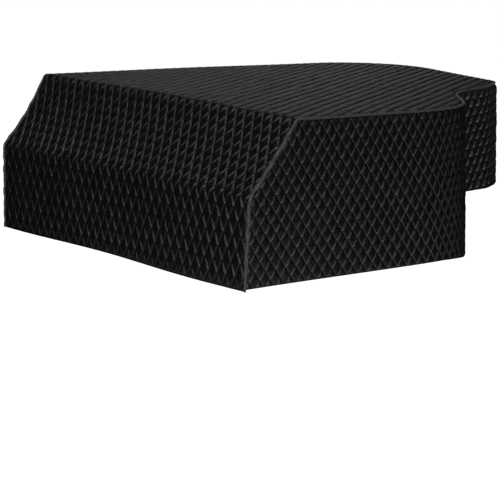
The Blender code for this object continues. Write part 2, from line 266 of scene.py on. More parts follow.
def hang(points):
    """Sewn shape to hung shape, where depth is nought at the lid and 1 at the side hems:
    x + depth * (lean - narrowing + wave of y), y + depth * (lean + wave of x), and
    z + wave * wave - fall + depth * wave of x + y."""
    x, y, z = points[..., 0], points[..., 1], points[..., 2]
    depth = np.clip(-z / SIDE_DROPS[0], 0, None)
    back = eased(y / BACK_LEAN_FROM)
    narrowing = FRONT_NARROWING * (1 - back) * x / HALF
    hung_x = x + depth * (BACK_LEAN[0] * back - narrowing + wave(y, SIDE_WAVE))
    hung_y = y + depth * (BACK_LEAN[1] * back + wave(x, END_WAVE))
    top = wave(x, TOP_WAVE_ACROSS) * wave(y, TOP_WAVE_ALONG)
    top -= TOP_FALL * np.clip(-x / HALF, 0, 1)
    hung_z = z + top + depth * wave(x + y, HEM_WAVE)
    return np.stack((hung_x, hung_y - ORIGIN_FROM_CREASE, hung_z), axis=-1)


def uneven(u, v):
    """Low, soft unevenness of handled cloth: the sum of three sines that cross."""
    long = np.sin(TURN * (u / 0.31 + v / 0.47))
    crossing = np.sin(TURN * (u / 0.19 - v / 0.23))
    short = np.sin(TURN * (u / 0.11 + v / 0.37 + 0.3))
    return UNEVENNESS * (long + crossing + 0.6 * short)


print("hem corner hangs at", np.round(hang(np.array((HALF, 0.0, -FRONT_DROP))), 3))

# %% [markdown]
# ## Quilting
#
# Machine quilting is two sets of parallel stitch lines that cross in diamonds. Between
# them the wadding pushes the cloth up: steeply beside the stitches, then almost flat. In
# a mesh whose rows run across the panel, the stitch lines would cut through the faces
# at a slant and look like a saw's teeth. So the rows are laid along the stitch lines
# instead: a point is counted in diamonds, p along one set and q along the other, and
# rows are crowded beside whole numbers, where the cloth bends most.

# %% The quilting's own grid
ROWS_IN_A_DIAMOND = np.array((0.0, 0.045, 0.11, 0.25, 0.75, 0.89, 0.955))
ROWS_BEHIND = np.array((0.0, 0.5))
PUFF = 0.0058  # how far the wadding raises the cloth
CROWN = 0.10  # the share of that which bulges like a dome
SHOULDER = 0.082  # how fast it rises, as a share of a diamond
LEAST_PUFF, CHANCE_PUFF = 0.83, 0.34  # a diamond's own share, and what chance adds
SCATTER = (12.9898, 78.233, 43758.5453)  # uneven numbers that make the chance


def quilt_grid(low, high, rows):
    """Grid of p and q over whole diamonds from low to high, and its quads as triangles.

    Each row number is a whole number plus one of the shares in rows.
    """
    lines_p = (np.arange(low[0], high[0])[:, None] + rows).ravel()
    lines_q = (np.arange(low[1], high[1])[:, None] + rows).ravel()
    p, q = np.meshgrid(lines_p, lines_q, indexing="ij")
    index = np.arange(p.size).reshape(p.shape)
    a, b = index[:-1, :-1].ravel(), index[1:, :-1].ravel()
    c, d = index[1:, 1:].ravel(), index[:-1, 1:].ravel()
    faces = np.concatenate((np.stack((a, b, c), 1), np.stack((a, c, d), 1)))
    return p.ravel(), q.ravel(), faces


def from_stitching(share):
    """0 at a stitch line and near 1 between two: 1 - exp(-w / shoulder), where w is the
    distance to the nearer line as a share of a diamond."""
    w = np.abs(share - np.round(share))
    return (1 - np.exp(-w / SHOULDER)) / (1 - math.exp(-0.5 / SHOULDER))


def puff(p, q):
    """Height of the quilting: puff * own share * crown * rise from both sets of lines.

    The crown is flat plus sine * sine. Wadding is never even, so a diamond's own share
    has chance in it: the fraction of a large sine of its numbers.
    """
    cell_p, cell_q = np.floor(p), np.floor(q)
    dome = np.sin(math.pi * (p - cell_p)) * np.sin(math.pi * (q - cell_q))
    chance = np.sin(cell_p * SCATTER[0] + cell_q * SCATTER[1]) * SCATTER[2]
    own = LEAST_PUFF + CHANCE_PUFF * (chance - np.floor(chance))
    return PUFF * own * (1 - CROWN + CROWN * dome) * from_stitching(p) * from_stitching(q)


print("rows in a diamond:", ROWS_IN_A_DIAMOND.tolist())

# %% [markdown]
# ## Cutting a panel out of the grid
#
# Scissors come next. Each edge of a panel is given as a height: how far a point lies
# inside that edge. Triangles wholly inside are kept, and those that the edge crosses get
# new points where the height is nought. The same cut with both parts kept lays a row of
# points exactly along a fold. A modifier that cuts with a second body could do it too,
# but it is slow on a hundred thousand faces and leaves slivers.

# %% Scissors
ON_THE_CUT = 2e-5  # a height under this counts as nought
WELDS_IN_A_METRE = 1e6  # points closer than a metre over this are one


def snip(points, faces, height):
    """Cuts triangles along the line where height is nought.

    points is an array of rows to be interpolated. A new point lies at the share h1 /
    (h1 - h2) of the way between two points of the heights h1 and h2. Returns the points
    with the new ones added, the faces above and the faces below.
    """
    height = np.where(np.abs(height) < ON_THE_CUT, 0.0, height)
    above = height >= 0
    count = above[faces].sum(axis=1)
    kept, dropped = faces[count == 3], faces[count == 0]
    odd_one = faces[(count == 1) | (count == 2)]
    lone_above = count[(count == 1) | (count == 2)] == 1
    first = np.argmax(above[odd_one] == lone_above[:, None], axis=1)
    a, b, c = (odd_one[np.arange(len(odd_one)), (first + k) % 3] for k in range(3))
    ends = np.sort(np.concatenate((np.stack((a, b), 1), np.stack((c, a), 1))), axis=1)
    pairs, which = np.unique(ends, axis=0, return_inverse=True)
    which = which.ravel() + len(points)
    ab, ca = which[:len(a)], which[len(a):]
    share = height[pairs[:, 0]] / (height[pairs[:, 0]] - height[pairs[:, 1]])
    new = points[pairs[:, 0]] + share[:, None] * (points[pairs[:, 1]] - points[pairs[:, 0]])
    tips = np.stack((a, ab, ca), 1)
    rests = np.concatenate((np.stack((ab, b, c), 1), np.stack((ab, c, ca), 1)))
    twice = np.concatenate((lone_above, lone_above))
    upper = np.concatenate((kept, tips[lone_above], rests[~twice]))
    lower = np.concatenate((dropped, tips[~lone_above], rests[twice]))
    return np.concatenate((points, new)), upper, lower


def tidy(points, faces):
    """Welds points that lie on each other, and drops the faces that this closes up and
    the points that no face uses."""
    _, first, same = np.unique(np.round(points[:, :2] * WELDS_IN_A_METRE), axis=0,
                               return_index=True, return_inverse=True)
    points, faces = points[first], same.ravel()[faces]
    a, b, c = faces.T
    faces = faces[(a != b) & (b != c) & (c != a)]
    used, faces = np.unique(faces, return_inverse=True)
    return points[used], faces.reshape(-1, 3)


print("scissors ready, to", ON_THE_CUT * 1000, "mm")

# %% [markdown]
# A panel's outside and lining have different numbers of points on their outlines, so the
# rim between them is laid like a zip: both are walked in step from the same corner, and
# each new point makes a triangle with the other side. Bridging edge loops does this too,
# but it guesses where to start.

# %% Outline and rim
def edge_ring(points, faces, corner):
    """Points on the outline in order, and how far round each lies, from 0 to 1. The
    first is the one that lies farthest against the direction corner.

    An edge of the outline belongs to one face only. Following the edges needs no loop
    over them: each point first knows the next one, then the one 2 further, 4 further
    and so on, and adds up the way that it has skipped.
    """
    ways = np.concatenate((faces[:, :2], faces[:, 1:], faces[:, [2, 0]]))
    code = ways.min(axis=1) * len(points) + ways.max(axis=1)
    _, first, times = np.unique(code, return_index=True, return_counts=True)
    ways = ways[first[times == 1]]
    ways = ways[np.argsort(ways[:, 0])]
    ring = ways[:, 0]
    ahead = np.searchsorted(ring, ways[:, 1])
    to_go = np.linalg.norm(points[ways[:, 0], :2] - points[ways[:, 1], :2], axis=1)
    head = np.argmin(points[ring, :2] @ np.array(corner))
    last = np.flatnonzero(ahead == head)[0]
    ahead[last] = last
    closing, to_go[last] = to_go[last], 0.0
    for _ in range(math.ceil(math.log2(len(ring)))):
        to_go = to_go + to_go[ahead]
        ahead = ahead[ahead]
    on_it = ahead == last
    to_go = to_go + closing
    order = np.argsort(-np.where(on_it, to_go, -1.0))[:on_it.sum()]
    return ring[order], 1 - to_go[order] / to_go[head]


def rim(ring, share, under, under_share):
    """Triangles between two rings that run the same way round.

    Each step along one ring makes a triangle with the point that the other ring has
    reached by then, so sorting the steps' ends is all it takes.
    """
    ends, under_ends = np.append(share[1:], 1.0), np.append(under_share[1:], 1.0)
    reached = under[np.searchsorted(under_ends, ends, "right") % len(under)]
    waiting = ring[np.searchsorted(ends, under_ends, "left") % len(ring)]
    return np.concatenate((
        np.stack((np.roll(ring, -1), ring, reached), 1),
        np.stack((under, np.roll(under, -1), waiting), 1),
    ))


print("a rim can join two outlines")

# %% [markdown]
# ## From arrays to a mesh
#
# Blender takes whole arrays in one go with foreach_set, where adding faces one by one
# would take minutes. Two UV maps go along for the materials: the flat cloth in metres,
# and the count of diamonds.

# %% A new mesh
def new_mesh(name, points, faces, smooth, finish, maps):
    """Puts whole arrays into a new mesh and returns its object, at the origin."""
    mesh = bpy.data.meshes.new(name)
    mesh.vertices.add(len(points))
    mesh.vertices.foreach_set("co", points.astype(np.float32).ravel())
    mesh.loops.add(faces.size)
    mesh.loops.foreach_set("vertex_index", faces.astype(np.int32).ravel())
    mesh.polygons.add(len(faces))
    mesh.polygons.foreach_set("loop_start", np.arange(0, faces.size, 3, dtype=np.int32))
    mesh.polygons.foreach_set("use_smooth", smooth)
    mesh.polygons.foreach_set("material_index", finish.astype(np.int32))
    for title, values in maps.items():
        layer = mesh.uv_layers.new(name=title)
        layer.data.foreach_set("uv", values[faces.ravel()].astype(np.float32).ravel())
    mesh.update(calc_edges=True)
    mesh.validate()
    piece = bpy.data.objects.new(name, mesh)
    bpy.context.scene.collection.objects.link(piece)
    return piece


print("meshes can be made from arrays")

# %% [markdown]
# ## From flat cloth to a finished panel
#
# Every panel goes the same way: lay its grid, cut its edges, fold it, give each point its
# height over the inside face, place it in space, and do the same with a coarser grid for
# the lining behind. The rim between the two closes the panel, so it is a real sheet with
# two faces. A Solidify modifier would print every diamond through to the lining, which
# in a real cover lies flatter.

# %% Making a panel
SEAM_FADE = 0.009  # the quilting rises over this distance from an edge
CALM_EDGE = 0.06  # and the unevenness over this one
LINING_PUFF = -0.25  # the lining bulges inward by this share of the puff


def twice_area(points, faces):
    """The cross product of two sides of each triangle of flat cloth."""
    a, b, c = (points[faces[:, k], :2] for k in range(3))
    return (b - a)[:, 0] * (c - a)[:, 1] - (b - a)[:, 1] * (c - a)[:, 0]


def cut_cloth(to_cloth, reach, rows, edges, folds):
    """Grid of one face of a panel, cut to its edges: rows of (u, v, p, q), and faces.

    A fold is a height up the cloth along which a row of points is laid.
    """
    p, q, faces = quilt_grid(*reach, rows)
    u, v = to_cloth(p, q)
    points = np.stack((u, v, p, q), axis=1)
    for edge in edges:
        points, faces, _ = snip(points, faces, edge(points[:, 0], points[:, 1]))
        points, faces = tidy(points, faces)
    for fold in folds:
        points, upper, lower = snip(points, faces, points[:, 1] - fold)
        points, faces = tidy(points, np.concatenate((upper, lower)))
    turning = twice_area(points, faces)
    return points, np.where(turning[:, None] > 0, faces, faces[:, ::-1])


def panel(name, to_cloth, reach, rows, edges, folds, place, corner, mirrored, loft=1.0):
    """A closed panel: quilted outside, lining inside, rim between them.

    Height outside is flat cloth + loft * puff * fade, where fade goes from 0 at the
    panel's edges to 1 a few millimetres in, because the wadding is caught in every seam.
    Once in place, a mirrored panel shows its cloth's other side.
    """
    front, front_faces = cut_cloth(to_cloth, reach, rows, edges, folds)
    back, back_faces = cut_cloth(to_cloth, reach, ROWS_BEHIND, edges, folds)

    def laid(points, flat, puffed):
        u, v, p, q = points.T
        margin = np.min([edge(u, v) for edge in edges], axis=0)
        height = flat + puffed * puff(p, q) * eased(margin / SEAM_FADE)
        return place(u, v, height + uneven(u, v) * eased(margin / CALM_EDGE))

    outside, inside = laid(front, CLOTH_FLAT, loft), laid(back, 0.0, LINING_PUFF)
    ring, share = edge_ring(front, front_faces, corner)
    under, under_share = edge_ring(back, back_faces, corner)
    round_it = rim(ring, share, under + len(front), under_share)
    faces = np.concatenate((front_faces, back_faces[:, ::-1] + len(front), round_it))
    if mirrored:
        faces = faces[:, ::-1]
    number, cloth = np.arange(len(faces)), np.concatenate((front, back))
    area = np.abs(twice_area(front, front_faces)).sum() / 2
    piece = new_mesh(
        name, np.concatenate((outside, inside)), faces,
        smooth=number < len(front_faces) + len(back_faces),
        finish=number >= len(front_faces),
        maps=dict(cloth=cloth[:, :2], quilting=cloth[:, 2:]))
    print(f"{name}: {len(faces)} triangles, {len(front)} points outside, {len(back)} inside")
    return piece


print("panels can be cut and laid")

# %% [markdown]
# ## The long sheet
#
# Its cloth measurements are x across and t up the side view. Diamonds are 48 mm wide.
# They are longest on the front drop, where the cloth hangs under its own weight, and a
# little shorter on the slope and the lid, so their height is a table along t. On the
# slope the rows also lean a few degrees, because the sheet was cut slightly off square.

# %% The long sheet
SHEET_DIAMOND = 0.0476  # width
# The length of the drop, the slope and the lid, and how high diamonds are on each.
DIAMOND_HEIGHTS = ((DROP_UP, 0.0915), (SLOPE_UP, 0.0735), (1.75, 0.0700))
BELOW_HEM = 2  # the table starts this many diamonds below the hem
SLOPE_LEAN = 0.068  # how far the rows lean, over a length of one
FOLD_ROWS = (-0.007, 0, 0.007)  # rows of points on both folds and beside them

part_ends = np.cumsum([0.0] + [length for length, _ in DIAMOND_HEIGHTS])
diamond_ends = np.cumsum([0.0] + [length / height for length, height in DIAMOND_HEIGHTS])
t_table = np.concatenate(([-BELOW_HEM * DIAMOND_HEIGHTS[0][1]], part_ends))
v_table = np.concatenate(([-BELOW_HEM], diamond_ends))


def sheet_cloth(p, q):
    """Diamonds to cloth: (p + q) / 2 counts across and (p - q) / 2 counts up."""
    t = np.interp((p - q) / 2, v_table, t_table)
    lean = SLOPE_LEAN * np.clip(t - DROP_UP, 0, SLOPE_UP)
    return (p + q) / 2 * SHEET_DIAMOND + lean, t


def sheet_place(x, t, height):
    """Cloth to space: x stays, and y and z are the side view's at t, raised by height."""
    line = side_view(t, x, height)
    return hang(np.stack((x, line[..., 0], line[..., 1]), axis=-1))


across, up = HALF / SHEET_DIAMOND + 1, diamond_ends[-1]
sheet = panel(
    "quilted_long_sheet", sheet_cloth,
    reach=((math.floor(-across - 1), math.floor(-across - up)),
           (math.ceil(across + up), math.ceil(across + 1))),
    rows=ROWS_IN_A_DIAMOND,
    edges=(
        lambda x, t: t,
        lambda x, t: inside_seam(x, np.clip(side_view(t, x)[..., 0], 0, None)) - SEAM_INSET,
    ),
    folds=[fold + beside for fold in (DROP_UP, LID_AT) for beside in FOLD_ROWS],
    place=sheet_place, corner=(1, 1), mirrored=False)

# %% [markdown]
# ## The walls
#
# A wall follows the seam line, so its cloth measurements are s along that line and v
# down from it. Its upper edge lies under the long sheet: beside the slope that edge runs
# down with the sheet's side view, which is read from a table. The rows of diamonds on the
# treble side run with its hem and not with the lid, as on a panel cut along its hem.

# %% Edges of the walls
FINE_ROWS = np.array((0.0, 0.03, 0.065, 0.12, 0.23, 0.50, 0.77, 0.88, 0.935, 0.97))
UNDER_SHEET = SEAM_INSET - CLOTH_INSET
DEEPEST = 0.56  # the grid reaches this far down, past every hem


def hem_drop(name, s):
    """Depth of the hem: straight lines between the drops, and at the treble bend a dip
    that grows with the square of the way round it."""
    if name == "quilted_tail_wall":
        share = np.clip((s - NOTCH_AT) / (TAIL_CORNER_AT - NOTCH_AT), 0, 1)
        return TAIL_DROPS[0] + (TAIL_DROPS[1] - TAIL_DROPS[0]) * share
    from_front = s if name == "quilted_treble_wall" else SEAM_LENGTH - s
    share = np.clip(from_front / SIDE_HEM_RISE, 0, 1)
    drop = SIDE_DROPS[0] + (SIDE_DROPS[1] - SIDE_DROPS[0]) * share
    if name == "quilted_treble_wall":
        drop = drop + BEND_DIP * np.clip((s - BEND["start"]) / BEND["length"], 0, 1) ** 2
    return drop


def under_sheet(from_crease, v, side):
    """How far a wall's point lies below the long sheet: the drop to the side view's
    line, times the cosine of its steepness there."""
    t = np.linspace(DROP_UP - 0.008, LID_AT + 0.012, 240)  # a little past both folds
    line = side_view(t, side * HALF)
    level = np.gradient(line[:, 0], t)
    z = np.interp(from_crease, line[:, 0], line[:, 1])
    steep = np.interp(from_crease, line[:, 0], level)
    return (z + v) * steep - UNDER_SHEET


print(f"hem at the notch {hem_drop('quilted_tail_wall', NOTCH_AT):.3f} m down")

# %% [markdown]
# The treble wall reaches from the front corner to the notch, the tail wall from there
# round the tail, and the bass wall back to the front. Each is one call, with its ends and
# the sides of its diamonds. The tail's are the largest and fullest.

# %% The three walls
PANEL_GAP = 0.0002  # between the walls and the vertical seams at their ends


def wall(name, start, end, step_p, step_q, loft=1.0):
    """A point of the cloth is start + p * step_p + q * step_q, where the steps are the
    sides of a diamond, and in space it hangs v below the seam line's place at s."""
    step = np.array((step_p, step_q)).T
    origin = np.array((start, 0.0))

    def to_cloth(p, q):
        u, v = step @ np.stack((p, q)) + origin[:, None]
        return u, v

    corners = np.array([(u, v) for u in (start, end) for v in (0, DEEPEST)]) - origin
    counts = np.linalg.solve(step, corners.T).T
    reach = (np.floor(counts.min(0)).astype(int) - 1, np.ceil(counts.max(0)).astype(int) + 1)
    side = {"quilted_treble_wall": 1, "quilted_bass_wall": -1}.get(name, 0)

    def upper_edge(s, v):
        if not side:
            return v - UNDER_SHEET
        return under_sheet(s if side > 0 else SEAM_LENGTH - s, v, side)

    return panel(
        name, to_cloth, reach, FINE_ROWS,
        edges=(lambda s, v: s - start, lambda s, v: end - s,
               lambda s, v: hem_drop(name, s) - v, upper_edge),
        folds=(), corner=(1, -1), mirrored=True, loft=loft,
        place=lambda s, v, height: hang(np.concatenate(
            (seam_place(s, CLOTH_INSET - height), -v[:, None]), axis=1)))


treble = wall("quilted_treble_wall", UNDER_SHEET, NOTCH_AT - PANEL_GAP,
              (0.0223, 0.0294), (0.0190, -0.0316))
tail = wall("quilted_tail_wall", NOTCH_AT + PANEL_GAP, BASS_SEAM_AT - PANEL_GAP,
            (0.0300, 0.0305), (0.0300, -0.0305), loft=1.3)
bass = wall("quilted_bass_wall", BASS_SEAM_AT + PANEL_GAP, SEAM_LENGTH - UNDER_SHEET,
            (0.0205, 0.0305), (0.0205, -0.0305))

# %% [markdown]
# ## The piping
#
# The seam is finished with a cord covered in a strip of cloth cut on the bias, so it
# bends round corners. A curve with a round bevel would be quick, but it is perfectly
# smooth. This tube is a circle carried along the seam, and its radius changes along slanting
# lines, as a bias strip puckers over its cord. At the two front corners it is a little
# fuller and wanders from side to side, where the strip was eased round by hand.

# %% The piping's path
CORNER_END = LID_AT + 0.02  # up the sheet, where a front corner's piping turns level
FULLNESS = ((0, 0.35, 0.85, 1), (0.3, 1, 1, 0))  # share of the way up, how full


def piping_path(step=0.003):
    """Points of the seam from one front hem corner, over the lid's edge, round the
    tail, and down the other front corner, with the outward direction at each. The ends
    follow the sheet's side view, and the level part follows the seam line."""
    meet = CORNER_END
    t = np.linspace(0, meet, round(meet / step) + 1)
    corner = {side: side_view(t, side * HALF, np.full(len(t), CLOTH_INSET)) for side in (1, -1)}
    first = corner[1][-1, 0]
    s = np.linspace(first + step, SEAM_LENGTH - first - step,
                    round((SEAM_LENGTH - 2 * first) / step))
    level = np.concatenate((seam_place(s), np.full((len(s), 1), CLOTH_INSET)), axis=1)
    treble_end = np.column_stack((np.full(len(t), HALF), corner[1]))
    bass_end = np.column_stack((np.full(len(t), -HALF), corner[-1]))[::-1]
    outward = np.zeros((len(t) * 2 + len(s), 3))
    outward[:len(t), 0], outward[-len(t):, 0] = 1, -1
    outward[len(t):-len(t), :2] = seam_outward(s)
    fuller = np.interp(t / meet, *FULLNESS)
    at_corner = np.concatenate((fuller, np.zeros(len(s)), fuller[::-1]))
    return np.concatenate((treble_end, level, bass_end)), outward, at_corner


print(f"the piping's path has {len(piping_path()[0])} points")

# %% [markdown]
# At each point of the path a circle stands square to the way ahead, and neighbouring
# circles are joined by triangles. The puckers run along the cord and round it at once,
# so they slant as the strip's weave does.

# %% The piping
PIPING_SWELL = (1.12, 0.55)  # on the level, and what a full corner adds
DRIFTS = ((0.0020, 0.071), (0.0012, 0.043))  # height, length
PUCKERS = (  # height, length, times round, start
    (0.055, 0.0163, 1, 0.0), (0.110, 0.0411, 2, 0.0), (0.035, 0.0107, -1, 1.0))


def piping(around=14):
    """A circle carried along the path, of radius * swell * (1 + puckers), where the
    puckers are three sines of the length plus the way round."""
    line, outward, at_corner = piping_path()
    length = np.concatenate(([0], np.cumsum(np.linalg.norm(np.diff(line, axis=0), axis=1))))
    drift = sum(height * np.sin(TURN * length / run) for height, run in DRIFTS)
    line = line + outward * (drift * at_corner)[:, None]
    ahead = np.gradient(line, axis=0)
    ahead /= np.linalg.norm(ahead, axis=1, keepdims=True)
    over = np.cross(outward, ahead)
    over /= np.linalg.norm(over, axis=1, keepdims=True)
    out = np.cross(ahead, over)
    angle = TURN * np.arange(around) / around
    s, a = np.meshgrid(length, angle, indexing="ij")
    puckers = sum(height * np.sin(TURN * s / run + times * a + start)
                  for height, run, times, start in PUCKERS)
    swell = PIPING_SWELL[0] + PIPING_SWELL[1] * at_corner[:, None]
    radius = PIPING_RADIUS * swell * (1 + puckers)
    tube = (line[:, None] + radius[..., None] * (np.cos(a)[..., None] * out[:, None]
                                                 + np.sin(a)[..., None] * over[:, None]))
    count = len(length)
    index = np.arange(count * around).reshape(count, around)
    here, turned = index[:-1], np.roll(index, -1, axis=1)[:-1]
    there, both = index[1:], np.roll(index, -1, axis=1)[1:]
    walls = np.concatenate([np.stack(three, -1).reshape(-1, 3) for three in
                            ((here, both, turned), (here, there, both))])
    poles = np.array((count * around, count * around + 1))
    caps = np.concatenate((
        np.stack((index[0], np.roll(index[0], -1), np.full(around, poles[0])), 1),
        np.stack((np.roll(index[-1], -1), index[-1], np.full(around, poles[1])), 1)))
    points = np.concatenate((hang(tube.reshape(-1, 3)), hang(line[[0, -1]])))
    faces = np.concatenate((walls, caps))
    flat = np.concatenate((np.stack((s, PIPING_RADIUS * a), -1).reshape(-1, 2),
                           np.zeros((2, 2))))
    piece = new_mesh("corded_piping", points, faces, np.ones(len(faces), bool),
                     np.zeros(len(faces)), dict(cloth=flat))
    print(f"piping {length[-1]:.2f} m long, {len(faces)} triangles")
    return piece


cord = piping()

# %% [markdown]
# ## Finishes
#
# A finish is a graph of nodes, and long sums of Math nodes are hard to read when they
# are wired one by one. So a socket is wrapped in a small class with the usual signs:
# adding two sockets adds a Math node, and the sum reads like a sum. Colours and vectors
# would lose two of their three numbers in a Math node, so they go through Mix nodes.

# %% Sums of sockets
class Wire:
    """One output socket. The signs + - * between wires and numbers add Math nodes."""

    def __init__(self, finish, socket):
        self.finish, self.socket = finish, socket

    def math(self, operation, *values):
        """A Math node with the values, numbers or wires, in its sockets."""
        slots = {f"_{k}": value for k, value in enumerate(values)}
        return self.finish.node("ShaderNodeMath", 0, dict(operation=operation), **slots)

    def sum(self, operation, *others):
        """The operation on this wire and any others."""
        return self.math(operation, self, *others)

    def __add__(self, other):
        return self.sum("ADD", other)

    def __sub__(self, other):
        return self.sum("SUBTRACT", other)

    def __mul__(self, other):
        return self.sum("MULTIPLY", other)

    # The same with a plain number first, as in 1 - wire.
    def __radd__(self, number):
        return self.math("ADD", number, self)

    def __rsub__(self, number):
        return self.math("SUBTRACT", number, self)

    def __rmul__(self, number):
        return self.math("MULTIPLY", number, self)

    def from_whole(self):
        """Distance to the nearest whole number: |wire - round(wire)|."""
        return (self - self.sum("ROUND")).sum("ABSOLUTE")

    def between(self, low, high):
        """0 below low, 1 above high, and smooth between."""
        return self.finish.node("ShaderNodeMapRange", "Result",
                                dict(interpolation_type="SMOOTHSTEP"),
                                Value=self, From_Min=low, From_Max=high)


print("sockets can be summed")

# %% [markdown]
# Every node is added by one method, which takes its kind, its settings and what goes into
# its sockets. Short methods on top of it fetch a UV map, add noise, mix two colours, bump
# the surface and link finished wires into the shader.

# %% Finishes
class Finish:
    """A material that is being put together."""

    def __init__(self, name, **fixed):
        self.material = bpy.data.materials.new(name)
        self.material.use_nodes = True
        self.tree = self.material.node_tree
        self.shader = self.tree.nodes["Principled BSDF"]
        for title, value in fixed.items():
            self.shader.inputs[title.replace("_", " ")].default_value = value

    def node(self, kind, output, settings=None, **sockets):
        """Adds a node: its settings first, then numbers or wires into its sockets, each
        by its name or, as _0, by its number. One output comes back as a wire."""
        node = self.tree.nodes.new(kind)
        for title, value in (settings or {}).items():
            setattr(node, title, value)
        for title, value in sockets.items():
            numbered = title[1:].isdigit()
            slot = node.inputs[int(title[1:]) if numbered else title.replace("_", " ")]
            if isinstance(value, Wire):
                self.tree.links.new(value.socket, slot)
            else:
                slot.default_value = value
        return Wire(self, node.outputs[output])

    def map(self, title):
        """One of the piece's own UV maps, whole and as its two numbers."""
        place = self.node("ShaderNodeUVMap", "UV", dict(uv_map=title))
        first = self.node("ShaderNodeSeparateXYZ", 0, _0=place)
        return place, first, Wire(self, first.socket.node.outputs[1])

    def noise(self, place, scale, detail=2.0, rough=0.5):
        """Flat noise with about scale blots to a length of one."""
        return self.node("ShaderNodeTexNoise", "Fac", dict(noise_dimensions="2D"),
                         Vector=place, Scale=scale, Detail=detail, Roughness=rough)

    def mix(self, share, first, second):
        """Between two colours, each four numbers or a wire."""
        return self.node("ShaderNodeMix", 2, dict(data_type="RGBA"),
                         _0=share, _6=first, _7=second)

    def wear(self, **wires):
        """Links finished wires into the shader."""
        for title, value in wires.items():
            self.tree.links.new(value.socket, self.shader.inputs[title.replace("_", " ")])

    def bump(self, height, distance, strength=1.0, over=None):
        """Relief of strength * distance * height, on top of the bump over."""
        more = {} if over is None else dict(Normal=over)
        return self.node("ShaderNodeBump", "Normal", None, Height=height, Distance=distance,
                         Strength=strength, **more)


print("finishes can be put together")

# %% [markdown]
# ## The quilted cloth
#
# The face cloth is a dull black synthetic. Close to, it has a plain weave of flat yarns
# about a millimetre apart, small creases that the stitching draws into it, and a thread
# that lies in each stitch line, down in one place and up in the next. The thread, its
# groove and the creases are counted from the diamonds, so they follow the relief. The
# weave is counted in metres of flat cloth, so it keeps its size on every panel.

# %% Quilted cloth
STITCH = 0.0042  # the thread is up for one stitch and down for the next
YARN = 0.00105  # from one yarn to the next
CREASES = (4.4, 1.5, 1.0)  # creases in a diamond, across and along
CREASE_HEIGHT = 0.0030
# Metres from a stitch line: where the thread ends, the groove ends, the creases begin.
THREAD_EDGE, GROOVE_EDGE, CREASE_EDGE = (0.0003, 0.0008), (0.0, 0.0022), (0.0020, 0.0070)


def grey(level):
    """A grey with a touch more blue."""
    return (level, level, level * 1.03, 1.0)


def quilted_cloth(name, pitch):
    """pitch is the distance between neighbouring stitch lines, in metres. The relief is
    three bumps: creases away from the stitches, sine * sine of the weave + specks, and
    groove + thread. The tone is specks + patches, lighter on the thread."""
    cloth = Finish(name, Roughness=0.4, Specular_IOR_Level=0.4)
    place, u, v = cloth.map("cloth")
    diamond, p, q = cloth.map("quilting")

    def from_line(count):
        """Metres to the nearest stitch line: |count - nearest whole number| * pitch."""
        return count.from_whole() * pitch

    def thread(count, along):
        """1 - the edge's rise away from the line, times a sine along it that is up for
        one stitch and down for the next."""
        up = (along * (math.pi * pitch / STITCH)).sum("SINE").between(-0.2, 0.5)
        return (1 - from_line(count).between(*THREAD_EDGE)) * up

    stitches = thread(p, q).sum("MAXIMUM", thread(q, p))
    nearest = from_line(p).sum("MINIMUM", from_line(q))
    groove = nearest.between(*GROOVE_EDGE)
    weave = (u * (TURN / YARN)).sum("SINE") * (v * (TURN / YARN)).sum("SINE")
    specks = cloth.noise(place, scale=330.0, rough=0.6)
    slanting = cloth.node("ShaderNodeVectorMath", "Vector", dict(operation="MULTIPLY"),
                          _0=diamond, _1=CREASES)
    creases = cloth.noise(slanting, scale=1.0, detail=1.0) * nearest.between(*CREASE_EDGE)
    patches = cloth.noise(place, scale=6.0)
    tone = (specks - 0.5) * 1.1 + (patches - 0.5) * 0.5 + 0.5
    colour = cloth.mix(tone.between(0.1, 0.9), grey(0.0020), grey(0.0052))
    colour = cloth.mix(stitches * 0.4, colour, grey(0.020))
    relief = cloth.bump(creases, CREASE_HEIGHT)
    relief = cloth.bump(weave * 0.5 + specks, distance=0.00010, over=relief)
    relief = cloth.bump(groove + stitches * 0.6, distance=0.0005, strength=0.8, over=relief)
    cloth.wear(Base_Color=colour, Roughness=0.34 + specks * 0.10, Normal=relief)
    print(f"{name}: {len(cloth.tree.nodes)} nodes")
    return cloth.material


def stitch_pitch(width, height):
    """Distance between parallel stitch lines of diamonds of that width and height."""
    return width * height / math.hypot(width, height)


sheet_finish = quilted_cloth("quilted_sheet_cloth", stitch_pitch(SHEET_DIAMOND, 0.075))
side_finish = quilted_cloth("quilted_side_cloth", stitch_pitch(0.041, 0.061))
tail_finish = quilted_cloth("quilted_tail_cloth", stitch_pitch(0.060, 0.061))

# %% [markdown]
# ## The lining and the piping
#
# Inside is a thin, smooth lining with the same stitching showing through, and painted shade
# darkens its grooves. The piping's strip is cut from a slightly shinier, lighter cloth, with
# its weave laid at a slant, and it catches the light along its top. Its grey is also raised
# as a painted highlight, so the seam shows as a bright line.

# %% Lining and piping cloth
STRIP_YARN = 0.0013


def lining_cloth():
    """Bump: soft creases, then the groove beside each stitch line plus specks. Colour: specks,
    with painted shade darkening the groove.
    """
    cloth = Finish("lining_cloth", Roughness=0.6, Specular_IOR_Level=0.25)
    place, _, _ = cloth.map("cloth")
    _, p, q = cloth.map("quilting")
    groove = p.from_whole().sum("MINIMUM", q.from_whole()).between(0.0, 0.05)
    specks = cloth.noise(place, scale=420.0, rough=0.6)
    creases = cloth.noise(place, scale=60.0, detail=3.0, rough=0.55)
    colour = cloth.mix(specks.between(0.3, 0.7), grey(0.010), grey(0.017))
    # Painted shade: the colour is darker in the groove beside each stitch line, where shade
    # falls.
    colour = cloth.mix(groove, grey(0.007), colour)
    relief = cloth.bump(creases, distance=0.0014, strength=0.5)
    relief = cloth.bump(groove + specks * 0.2, distance=0.0008, strength=0.8, over=relief)
    cloth.wear(Base_Color=colour, Roughness=0.55 + specks * 0.15, Normal=relief)
    return cloth.material


